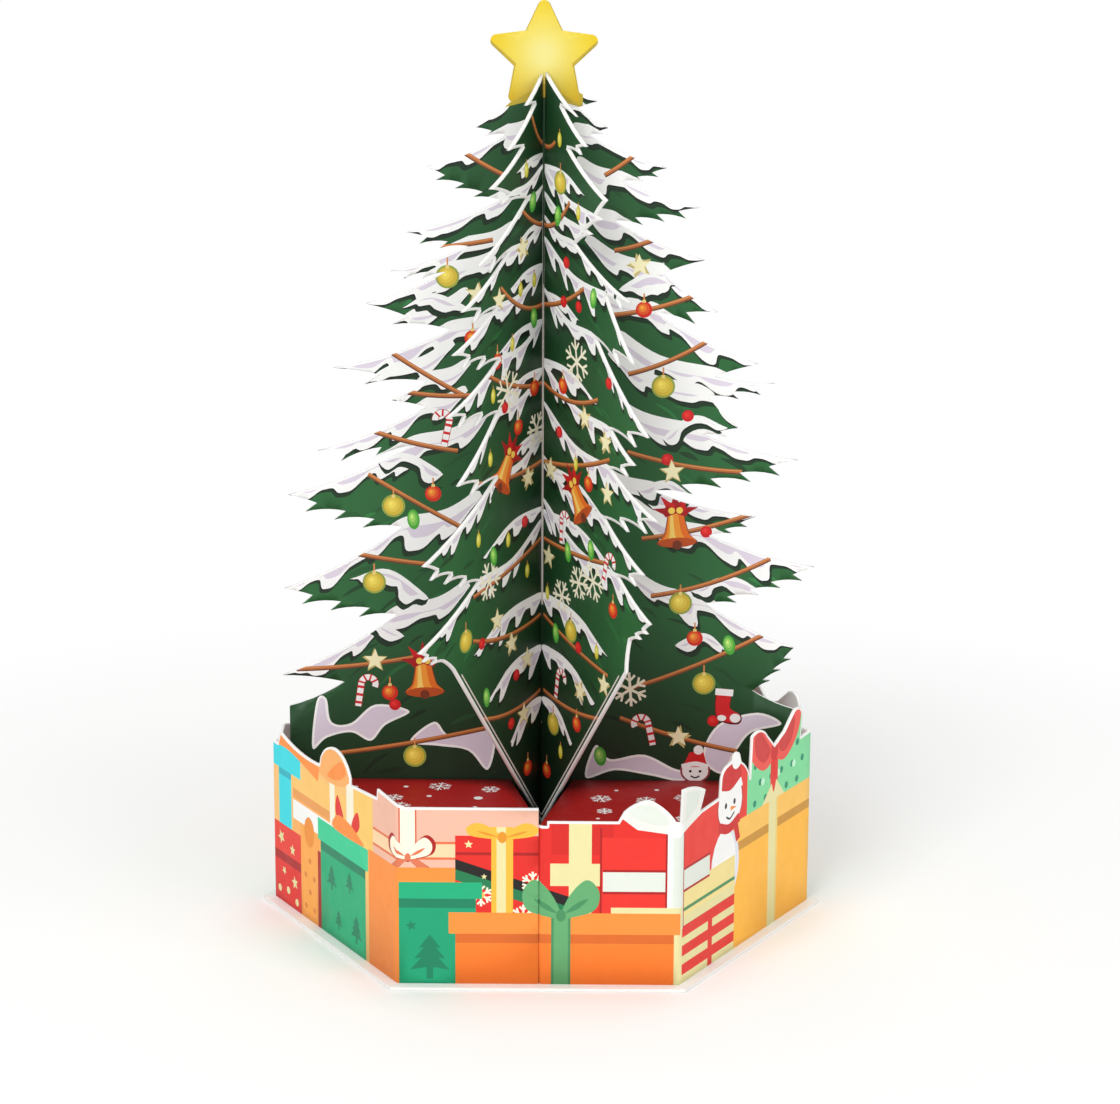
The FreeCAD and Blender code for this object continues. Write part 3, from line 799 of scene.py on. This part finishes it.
def boughs(outline, side, low, prominence=2.6):
    """Upper edges of the boughs down one side of a sheet, each from its tip inward to the crotch above.

    Tips and crotches are where the reach from the axis turns back by more than a needle tooth does.
    """
    start = int(np.argmax(outline[:, 1]))
    ring = np.roll(outline, -start, axis=0)
    if ring[len(ring) // 8, 0] * side < 0:
        ring = np.roll(outline[::-1], -(len(outline) - 1 - start), axis=0)
    reach = ring[:, 0] * side
    down = [k for k in range(len(ring)) if reach[k] > 1.0 and ring[k, 1] > low]
    edges, crotch, extreme, rising = [], down[0], down[0], True
    for k in down:
        if rising and reach[k] > reach[extreme] or not rising and reach[k] < reach[extreme]:
            extreme = k
        elif abs(reach[k] - reach[extreme]) > prominence:
            if rising:
                edges.append(ring[crotch:extreme + 1][::-1])
            else:
                crotch = extreme
            extreme, rising = k, not rising
    return edges


def evenly(path, pitch):
    """The path's points again at an even pitch, with how far along it each one is."""
    far = np.concatenate([[0], np.cumsum(np.linalg.norm(np.diff(path, axis=0), axis=1))])
    steps = np.linspace(0, far[-1], max(8, int(far[-1] / pitch)))
    return np.stack([np.interp(steps, far, path[:, k]) for k in (0, 1)], 1), steps


SNOW_BASE = 0.45
THIN_TIP = 0.35
ROUND_END = 2.6
CAST_DARK = 1.3
DARK_RIM = 0.35


def snow(art, path, depth, chance, cover, drips, spacing):
    """Snow that lies along a path from a bough's tip inward, with a dark line below and a lilac heart.

    Its depth is a base share plus a flat-topped bump for each drip. It thins out to the tip, which stays
    green, and ends round inside. What hangs leans outwards, as on a bough.
    """
    run, far = evenly(curve(path, 6), 0.55)
    long = far[-1]
    count = max(1, round(long / spacing))
    share = np.full(len(run), SNOW_BASE)
    for k in range(count):
        middle = (k + chance.uniform(0.2, 0.8)) * long / count
        half = chance.uniform(0.2, 0.38) * spacing
        share += drips * chance.uniform(0.25, 1.0) * np.exp(-((far - middle) / half) ** 4)
    start = np.clip(far / (THIN_TIP * long), 0, 1) ** 0.8
    end = np.sqrt(1 - np.clip(1 - (long - far) / ROUND_END, 0, 1) ** 2)
    hang = (depth * share * start * end)[:, None]
    lean = np.array([0.5 * math.copysign(1, path[0][0] - path[-1][0]), -1.0])
    lean /= np.linalg.norm(lean)
    top = run + cover * (start ** 1.6 * end)[:, None] * (0, 1)
    art.band(top, run + (hang + CAST_DARK * start[:, None]) * lean, lambda points: art.ground(points) * 0.5)
    art.band(top, run + (hang + DARK_RIM) * lean, NIGHT)
    art.band(top, run + hang * lean, SNOW)
    art.band(run + 0.5 * lean, run + np.maximum(0.6 * hang - 0.5, 0.5) * lean, LILAC)


def inset(ring, distance):
    """A closed ring drawn in: each point moves at right angles to its neighbours' line."""
    along = np.roll(ring, -1, axis=0) - np.roll(ring, 1, axis=0)
    along /= np.linalg.norm(along, axis=1, keepdims=True) + 1e-9
    area = np.cross(ring, np.roll(ring, -1, axis=0)).sum()
    return ring + math.copysign(distance, area) * np.stack([-along[:, 1], along[:, 0]], 1)


def drift(art, points):
    """Loose patch of snow: a smooth closed blob with a dark rim below and a lilac heart."""
    blob = curve(points, 6, closed=True)
    art.lay(inset(blob, -0.35) - (0, 0.3), NIGHT)
    art.lay(blob, SNOW)
    art.lay(inset(blob, 0.5), LILAC)


def room(outline, x, y):
    """Whether what hangs at a point stays clear of the sheet's edge."""
    return encloses(outline, oval(x, y - 2.5, 3.0, steps=8)).all()


def bauble(art, x, y, reach, inner, outer, halo=None):
    """Hanging ball: string, cap, an optional halo, and a lit body."""
    art.stroke([(x, y), (x, y + reach * 2.0)], 0.16, PALE_TWINE)
    if halo:
        art.disc(x, y, reach * 1.22, ink=halo)
    art.glow(x, y, reach, reach, inner, outer)
    art.block(x - 0.35, y + reach * 0.85, x + 0.35, y + reach * 1.2, (236, 214, 130))


def cane(art, x, y, tall, side, turn):
    """Candy cane: a straight stem and a half-round hook, white with slanted red bands."""
    hook = tall * 0.2
    angle = np.linspace(0, 1.1 * np.pi, 14)
    stem = [(0, -tall * 0.5 + k * tall * 0.7 / 9) for k in range(10)]
    arc = np.stack([side * hook * (1 - np.cos(angle)), tall * 0.2 + hook * np.sin(angle)], 1)
    path = turned(np.concatenate([stem, arc]), turn) + (x, y)
    art.stroke(path, tall * 0.1, DEEP_RED)
    art.stroke(path, tall * 0.085, SNOW)
    for k in range(1, len(path) - 2, 3):
        art.stroke(path[k:k + 2], tall * 0.085, CANE_RED)


def bell(art, x, y, size, turn):
    """Golden bell hung at a tilt, with red leaves and a berry at its crown."""
    def place(points):
        return turned(np.array(points) * size, turn) + (x, y)

    shell = np.array([(0, 1.0), (0.34, 0.86), (0.46, 0.3), (0.62, -0.3), (0.95, -0.72), (0, -0.9),
                      (-0.95, -0.72), (-0.62, -0.3), (-0.46, 0.3), (-0.34, 0.86)])
    art.blob(place(shell * 1.08), (120, 50, 24), 4)
    art.blob(place(shell), (232, 112, 32), 4)
    art.blob(place(shell * (0.62, 0.92) - (0.12, 0)), (246, 156, 52), 4)
    art.blob(place(shell * (0.2, 0.8) - (0.22, 0)), (252, 212, 110), 4)
    art.lay(place(oval(0, -0.72, 0.95, 0.26)), (190, 78, 26))
    art.lay(place(oval(0, -0.84, 0.24, 0.24)), (120, 50, 24))
    leaf_shape = [(0, 0), (0.3, 0.45), (0.16, 0.62), (0, 1.2), (-0.16, 0.62), (-0.3, 0.45)]
    for lean in (-76, -38, 0, 38, 76):
        leaf = turned(leaf_shape, lean) + (0, 0.8)
        art.lay(place(leaf), (206, 26, 30) if lean % 4 else (168, 18, 24))
    for lean in (-0.2, 0.2):
        art.lay(place(oval(lean, 0.95, 0.17)), (250, 214, 90))


def stocking(art, x, y, tall, turn):
    """Red stocking with a white cuff and toe."""
    def place(points):
        return turned(np.array(points) * tall, turn) + (x, y)

    foot = [(-0.2, 0.4), (0.2, 0.4), (0.22, -0.1), (0.55, -0.3), (0.5, -0.56), (0.05, -0.55), (-0.2, -0.3)]
    art.blob(place(np.array(foot) * 1.1), (96, 12, 16), 4)
    art.blob(place(foot), CANE_RED, 4)
    art.lay(place(oval(0.42, -0.43, 0.17, 0.15)), SNOW)
    art.lay(place(oval(0, -0.46, 0.14, 0.1)), SNOW)
    art.lay(place(rectangle(-0.28, 0.28, 0.28, 0.5)), SNOW)


def garland(art, start, end, sag):
    """Twine that hangs between two points. Gives back its path."""
    share = np.linspace(0, 1, 15)[:, None]
    path = np.array(start) * (1 - share) + np.array(end) * share
    path[:, 1] -= 4 * sag * (share * (1 - share))[:, 0]
    art.stroke(path - (0, 0.22), 0.42, DARK_TWINE)
    art.stroke(path, 0.36, TWINE)
    art.stroke(path + (0, 0.12), 0.12, PALE_TWINE)
    return path


def ornament(art, x, y, kind, chance):
    """One hung ornament under a point."""
    if kind == "gold":
        bauble(art, x, y - 3.6, 1.95, (252, 232, 104), (214, 184, 60), (150, 164, 70))
    elif kind == "ember":
        bauble(art, x, y - 3.0, 1.65, (255, 176, 60), (214, 40, 22))
    elif kind == "lime":
        art.glow(x, y - 2.4, 1.25, 2.1, (206, 246, 130), (76, 170, 58), chance.uniform(-15, 15))
    elif kind == "lamp":
        art.stroke([(x, y), (x, y - 1)], 0.14, PALE_TWINE)
        art.glow(x, y - 2.1, 0.8, 1.5, (252, 248, 150), (208, 196, 50))
    elif kind == "star":
        art.lay(star(x, y - 2.2, 2.7, 1.2, chance.uniform(-20, 20)), (206, 186, 118))
        art.lay(star(x, y - 2.1, 2.35, 1.0, chance.uniform(-4, 4)), (250, 242, 196))
    elif kind == "cane":
        cane(art, x, y - 3.4, 7.2, chance.choice((-1, 1)), chance.uniform(-18, 18))
    elif kind == "flake":
        flake(art, x, y - 3, 3.6, ICING, 0.28, chance.uniform(0, 60))
    elif kind == "bell":
        bell(art, x, y - 4, 4.0, chance.uniform(-45, 45))
    elif kind == "stocking":
        stocking(art, x, y - 4, 6.5, chance.uniform(-30, 10))
    elif kind == "berry":
        art.glow(x, y - 0.6, 1.2, 1.2, (240, 60, 50), BERRY)


def snow_head(art, x, y):
    """Small snowman's head with a red cap, a bobble and a smile."""
    art.disc(x, y, 3.1, 2.7, ink=(150, 60, 66))
    art.disc(x, y, 2.7, 2.3, ink=SNOW)
    art.lay(np.array([(-2.6, 0.8), (-1.2, 4.0), (1.6, 4.2), (2.5, 0.8)]) + (x, y), CANE_RED)
    art.stroke(curve([(x - 2.8, y + 0.9), (x, y + 1.5), (x + 2.7, y + 0.9)]), 0.5, SNOW)
    art.disc(x + 0.6, y + 4.5, 1.0, ink=SNOW)
    for side in (-1, 1):
        art.disc(x + side, y - 0.1, 0.3, steps=8, ink=NIGHT)
    art.stroke(curve([(x - 0.9, y - 1.1), (x, y - 1.5), (x + 0.9, y - 1.1)]), 0.15, NIGHT)


def fir_ink_with_painted_shade(painted_shade_axis_tone):
    """Green of the fir with painted shade: brighter outwards, darker by the axis and towards the foot."""
    def ink(points):
        # Painted shade: the green goes to the shade colour by the axis, where the sheets meet, and darkens
        # towards the foot.
        out = np.clip(abs(points[:, 0]) / 34, 0, 1)[:, None] ** 0.8
        low = np.clip((points[:, 1] - 18) / 44, 0, 1)[:, None]
        tone = painted_shade_axis_tone + (1 - painted_shade_axis_tone) * out
        mix = np.array(FIR_PAINTED_SHADE) * (1 - tone) + np.array(FOREST) * tone
        return mix * (0.32 + 0.68 * low)
    return ink


def needles(art, outline, chance, count):
    """Loose brush strokes that fall outwards, a little lighter or darker than the green below."""
    low, high = outline.min(0), outline.max(0)
    for _ in range(count):
        x = chance.uniform(low[0], high[0])
        y = chance.uniform(low[1], high[1])
        if abs(x) > (high[1] - y) * 0.42:
            continue
        long = chance.uniform(3.0, 7.5)
        fall = math.copysign(long, x) * chance.uniform(0.85, 1.0)
        drop = -chance.uniform(0.15, 0.75) * long
        path = curve([(x, y), (x + fall * 0.5, y + drop * 0.35), (x + fall, y + drop)], 3)
        half = chance.uniform(0.25, 0.6) * np.sin(np.linspace(0.15, np.pi - 0.15, len(path)))
        tone = chance.choice((0.66, 0.78, 0.88, 1.14, 1.28))
        art.stroke(path, half, lambda points, tone=tone: np.clip(art.ground(points) * tone, 0, 255))


def tree_sheet(node, name, turn, decorate, *given):
    """One tree sheet, cut to the outline of its solid and printed on both faces."""
    flatten, place = sheet_frame(turn)
    outline = face_outline(node, flatten)
    piece = cut_card(name, outline, decorate(outline, *given), place)
    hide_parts(node)


# What hangs on the main sheet, by kind, in millimetres to the right of the axis and above the table.
MAIN_ORNAMENTS = {
    "gold": [(-24, 110), (-30, 88), (24, 113), (32, 118), (-19, 135), (28, 68), (33, 51), (-26, 35),
        (17, 148), (-34, 72)],
    "ember": [(-22, 90), (-31, 48), (31, 60), (20, 128), (-14, 122)],
    "lime": [(-26, 84), (38, 58), (12, 34), (-40, 62), (22, 140)],
    "berry": [(29, 104), (25, 95), (33, 80), (-17, 143), (35, 40), (-38, 80), (14, 157), (-30, 43),
        (-12, 152), (22, 152)],
    "star": [(-25, 117), (26, 94), (42, 76), (-28, 62), (-34, 54), (28, 38), (-13, 130), (19, 136),
        (34, 68), (9, 166)],
    "cane": [(-37, 49), (22, 41), (37, 108), (-19, 104)],
    "bell": [(27, 84), (-24, 52)],
    "flake": [(18, 49), (-36, 104)],
    "stocking": [(37, 47)],
}
# Twine on the main sheet: start, end and sag.
MAIN_TWINE = [
    ((-30, 116), (-15, 107), 0.3), ((-27, 108), (-14, 107.5), 0.4), ((-35, 91), (-16, 80), 0.2),
    ((17, 96), (40, 92), 0.8), ((22, 66), (46, 74), 1.2), ((17, 112), (33, 119), 0.8),
    ((14, 137), (27, 142), 0.8), ((-26, 137), (-10, 139), 0.3), ((12, 152), (20, 158), 0.4),
    ((-18, 158), (-8, 152), 0.3), ((-50, 50), (-20, 54), 0.8), ((-42, 32), (-10, 38), 0.5),
    ((16, 40), (40, 33), 0.6), ((17, 46), (45, 58), 0.8), ((-40, 75), (-16, 72), 0.6),
    ((20, 78), (44, 84), 0.8), ((-34, 100), (-17, 96), 0.5), ((14, 124), (30, 128), 0.6),
]
# Loose snow on the main sheet: blobs as rings of points, and runs with drips as paths from outside inward.
MAIN_DRIFTS = [
    [(-47, 33), (-46, 43), (-44, 43.6), (-43, 38.6), (-39, 38.4), (-34, 42.4), (-27, 41), (-32, 38),
     (-35, 34.6), (-39, 36.4), (-44, 35.2)],
    [(-27, 34.5), (-22, 38.8), (-19, 36.0), (-13, 37.4), (-9.5, 36), (-11, 28.5), (-15, 32.6), (-21, 33.6)],
    [(9, 27), (11, 34), (14, 31), (21, 32.0), (28, 28.8), (33, 29.6), (29, 26.4), (22, 27.6), (15, 28.6)],
    [(33, 31.6), (36, 38.5), (44, 41.2), (49, 38.8), (43, 37.0), (40, 33.2), (37, 28)],
]
MAIN_RUNS = [
    [(38, 54), (33, 57.6), (27, 55.4)], [(-39, 69), (-31, 70.6), (-23, 65)],
    [(37, 101), (30, 103), (24, 98.6)], [(-33, 93.6), (-27, 94.8), (-20, 91)],
    [(46, 66), (38, 69.6), (30, 67)], [(-42, 58.5), (-35, 60), (-28, 57)],
    [(30, 87), (25, 89.6), (19, 88)], [(-28, 125), (-22, 127.6), (-15, 125)],
    [(26, 130), (21, 132), (15, 129)],
]


def main_print(outline):
    """Print of the main sheet: snowy boughs, loose snow, twine, ornaments and the star."""
    chance = random.Random(3)
    # The ground green carries painted shade by the axis and at the foot.
    art = Artwork(fir_ink_with_painted_shade(0.45))
    needles(art, outline, chance, 420)
    for side in (1, -1):
        for upper in boughs(outline, side, 20.0):
            crotch = upper[-1]
            inward = chance.uniform(0.35, 0.75) * abs(crotch[0])
            inner = crotch + (-side * inward, 0.42 * inward)
            bend = crotch + (-side * inward * 0.55, 0.12 * inward)
            depth = np.clip(0.2 + 0.11 * np.linalg.norm(upper[0] - inner), 0.8, 4.6)
            snow(art, np.concatenate([upper[::3], [crotch, bend, inner]]), depth, chance, 2.0, 1.1, 9.0)
    for patch in MAIN_DRIFTS:
        drift(art, patch)
    for run in MAIN_RUNS:
        snow(art, run, 2.8, chance, 0.5, 1.1, 6.5)
    for start, end, sag in MAIN_TWINE:
        garland(art, start, end, sag)
    for kind, spots in MAIN_ORNAMENTS.items():
        for x, y in spots:
            if room(outline, x, y):
                ornament(art, x, y, kind, chance)
    snow_head(art, 31.5, 28.6)
    middle = np.array([0, star_top - 10.6])

    def gold(points):
        far = np.linalg.norm((points - middle) * (1, 0.86), axis=1)[:, None] / 11
        low = np.clip((middle[1] - points[:, 1:]) / 11, 0, 1)
        rim = np.array((222, 190, 16)) * (1 - low) + np.array((200, 158, 8)) * low
        share = np.clip(far, 0, 1)
        return np.array((228, 220, 150)) * (1 - share) + rim * share

    rim = star(0, 0, 16, 8.4)
    rim[rim[:, 1] < -10] *= 0.8
    art.lay(rim + middle, (188, 164, 52))
    art.lay(star(0, middle[1], 12.1, 5.75), gold)
    for reach in (10, 8, 6, 4.4, 3, 1.6):
        art.disc(0, middle[1], min(reach, 5.2), min(reach, 5.2), steps=24, ink=gold)
    return art


AXIS_LINE = (226, 218, 210)
CROSS_KINDS = (["lamp"] * 4 + ["star"] * 3 + ["berry"] * 3 + ["lime", "gold", "ember"] * 2
               + ["cane", "flake"])


def cross_print(outline, seed, painted_shade_axis_tone):
    """Print of a cross sheet: painted shade that darkens it by the axis, with swags of snow, twine and
    ornaments, and white edges.

    The swags run from each bough's tip to the axis, with one more between each two. The ornaments lie
    where chance puts them, at least a clear distance apart.
    """
    chance = random.Random(seed)
    # Ground green with painted shade; the axis tone sets how much of the lit green stays at the axis.
    art = Artwork(fir_ink_with_painted_shade(painted_shade_axis_tone))
    needles(art, outline, chance, 300)
    for side in (1, -1):
        above = crown - 12.0
        for upper in boughs(outline, side, 30.0):
            crotch = upper[-1]
            if crotch[1] > crown - 16:
                continue
            inner = (side * 0.2, crotch[1] + 0.3 * abs(crotch[0]))
            bend = crotch * (0.5, 1) + (0, 0.05 * abs(crotch[0]))
            between = (above + crotch[1]) / 2 + chance.uniform(-1.5, 1.5)
            reach = side * abs(crotch[0]) * chance.uniform(0.7, 1.1)
            extra = [(reach, between - 0.22 * abs(reach)), (reach * 0.5, between - 0.5),
                     (side * 0.2, between)]
            depth = np.clip(0.5 + 0.13 * abs(crotch[0]), 1.0, 2.9)
            if above - crotch[1] > 8:
                snow(art, extra, 0.85 * depth, chance, 0.4, 1.7, 5.5)
            snow(art, np.concatenate([upper[::3], [crotch, bend, inner]]), depth, chance, 0.6, 1.7, 5.5)
            above = crotch[1]
        for low, reach in ((66, 27), (55, 22), (44, 13)):
            extra = [(side * reach, low - 6), (side * reach * 0.5, low - 1), (side * 0.2, low)]
            snow(art, extra, 3.0, chance, 1.0, 1.7, 5.5)
        for high in np.arange(crown - 14, 42, -16.0):
            reach = min(0.36 * (crown - high), 27.0) * side
            tilt = chance.choice((-6.0, 1.0, 6.0))
            garland(art, (reach * 0.04, high), (reach, high + tilt), chance.uniform(0.6, 2.4))
        bell(art, side * 15, 92 - 3 * side, 4.2, side * 35)
        flake(art, side * 14, 114 + 3 * side, 4.6, ICING, 0.3, 10)
        flake(art, side * 21, 74, 4.2, ICING, 0.28, 25)
        placed = [(side * 15, 92), (side * 14, 115), (side * 21, 74)]
        for _ in range(220):
            high = chance.uniform(30, crown - 8)
            x = side * chance.uniform(2.2, 30)
            near = min(math.hypot(x - a, 0.8 * (high - b)) for a, b in placed)
            if near > 5.2 and room(outline, x, high):
                ornament(art, x, high, chance.choice(CROSS_KINDS), chance)
                placed.append((x, high))
        art.stroke([(side * 31.4, 57.4), (side * 0.6, 19)], 0.17, AXIS_LINE)
    art.block(-0.9, 64, 0.9, crown, AXIS_LINE)
    art.border(outline, 0.55, CUT_WHITE, lambda middle: abs(middle[0]) > 1.5)
    return art


# The last number of a cross sheet is the tone of its painted shade at the axis: lower is darker.
tree_sheet("main_tree", "tree_main", 0, main_print)
tree_sheet("cross_tree_left", "tree_cross_left", 60, cross_print, 5, 0.1)
tree_sheet("cross_tree_right", "tree_cross_right", -60, cross_print, 8, 0.2)

# Camera, floor and light: the viewing angle of the photograph, fitted to the corners of the ring.

VIEW_DISTANCE = 14 * ring_side * MM
VIEW_RISE = 0.271374
VIEW_YAW = 0.0068645
VIEW_ROLL = 0.0048541
VIEW_TARGET = Vector((0.0646852, 0.0, 1.3619608)) * ring_side * MM
IMAGE_WIDTH = 1120
FOCAL_PIXELS = 3812.354
SENSOR = 36.0

back = Vector((math.sin(VIEW_YAW) * math.cos(VIEW_RISE), -math.cos(VIEW_YAW) * math.cos(VIEW_RISE),
               math.sin(VIEW_RISE)))
right = (-back).cross(Vector((0, 0, 1))).normalized()
up = right.cross(-back)
across = math.cos(VIEW_ROLL) * right + math.sin(VIEW_ROLL) * up
upward = math.cos(VIEW_ROLL) * up - math.sin(VIEW_ROLL) * right
lens = bpy.data.cameras.new("view")
lens.sensor_fit = "HORIZONTAL"
lens.sensor_width = SENSOR
lens.lens = FOCAL_PIXELS / IMAGE_WIDTH * SENSOR
camera = bpy.data.objects.new("view", lens)
bpy.context.collection.objects.link(camera)
camera.matrix_world = Matrix.Translation(VIEW_TARGET + back * VIEW_DISTANCE) @ Matrix(
    (across, upward, back)).transposed().to_4x4()
bpy.context.scene.camera = camera

FLOOR_HALF = 3.0
FLOOR_DROP = 0.00005
floor_mesh = bpy.data.meshes.new("floor")
floor_mesh.from_pydata([(-FLOOR_HALF, -FLOOR_HALF, -FLOOR_DROP), (FLOOR_HALF, -FLOOR_HALF, -FLOOR_DROP),
                        (FLOOR_HALF, FLOOR_HALF, -FLOOR_DROP), (-FLOOR_HALF, FLOOR_HALF, -FLOOR_DROP)],
                       [], [(0, 1, 2, 3)])
floor = bpy.data.objects.new("floor", floor_mesh)
bpy.context.collection.objects.link(floor)
pale = bpy.data.materials.new("pale floor")
ground = Graph(pale)
WHITE = (1.0, 1.0, 1.0, 1.0)
CLEAR_FROM = 0.08
CLEAR_BY = 0.22
apart = ground.node("ShaderNodeVectorMath", {"operation": "LENGTH"}, {
    0: ground.node("ShaderNodeTexCoord", {}, {}, "Object")}, "Value")
clear = ground.node("ShaderNodeMapRange", {}, {
    "Value": apart, "From Min": CLEAR_FROM, "From Max": CLEAR_BY, "To Min": 0.0, "To Max": 1.0})
matt = ground.node("ShaderNodeBsdfPrincipled", {}, {
    "Base Color": (0.9, 0.9, 0.89, 1.0), "Roughness": 0.8, "Specular IOR Level": 0.1})
bright = ground.node("ShaderNodeEmission", {}, {"Color": WHITE, "Strength": 1.0})
faded = ground.node("ShaderNodeMixShader", {}, {0: clear, 1: matt, 2: bright})
ground.node("ShaderNodeOutputMaterial", {}, {"Surface": faded})
floor_mesh.materials.append(pale)

SOFT_LIGHT = 0.46
world = bpy.data.worlds.new("studio")
bpy.context.scene.world = world
sky = Graph(world)
camera_ray, glossy_ray, sent_ray = [sky.node("ShaderNodeLightPath", {}, {}, name) for name in (
    "Is Camera Ray", "Is Glossy Ray", "Is Transmission Ray")]
seen = camera_ray.math("MAXIMUM", glossy_ray.math("MAXIMUM", sent_ray))
soft = sky.node("ShaderNodeBackground", {}, {"Color": WHITE, "Strength": SOFT_LIGHT})
white = sky.node("ShaderNodeBackground", {}, {"Color": WHITE, "Strength": 1.0})
mixed = sky.node("ShaderNodeMixShader", {}, {0: seen, 1: soft, 2: white})
sky.node("ShaderNodeOutputWorld", {}, {"Surface": mixed})


CARD_MIDDLE = 0.09


def lamp(name, spot, size, power):
    """Square soft box that faces the card's middle."""
    light = bpy.data.lights.new(name, "AREA")
    light.size = size
    light.energy = power
    made = bpy.data.objects.new(name, light)
    bpy.context.collection.objects.link(made)
    made.location = spot
    made.rotation_euler = (Vector((0, 0, CARD_MIDDLE)) - Vector(spot)).to_track_quat("-Z", "Y").to_euler()


lamp("key", (-0.5, -1.0, 0.9), 0.7, 10.0)
lamp("fill", (0.9, -0.8, 0.5), 0.8, 4.8)
lamp("top", (0.0, 0.3, 1.3), 0.9, 5.5)

bpy.context.scene.view_settings.view_transform = "Standard"
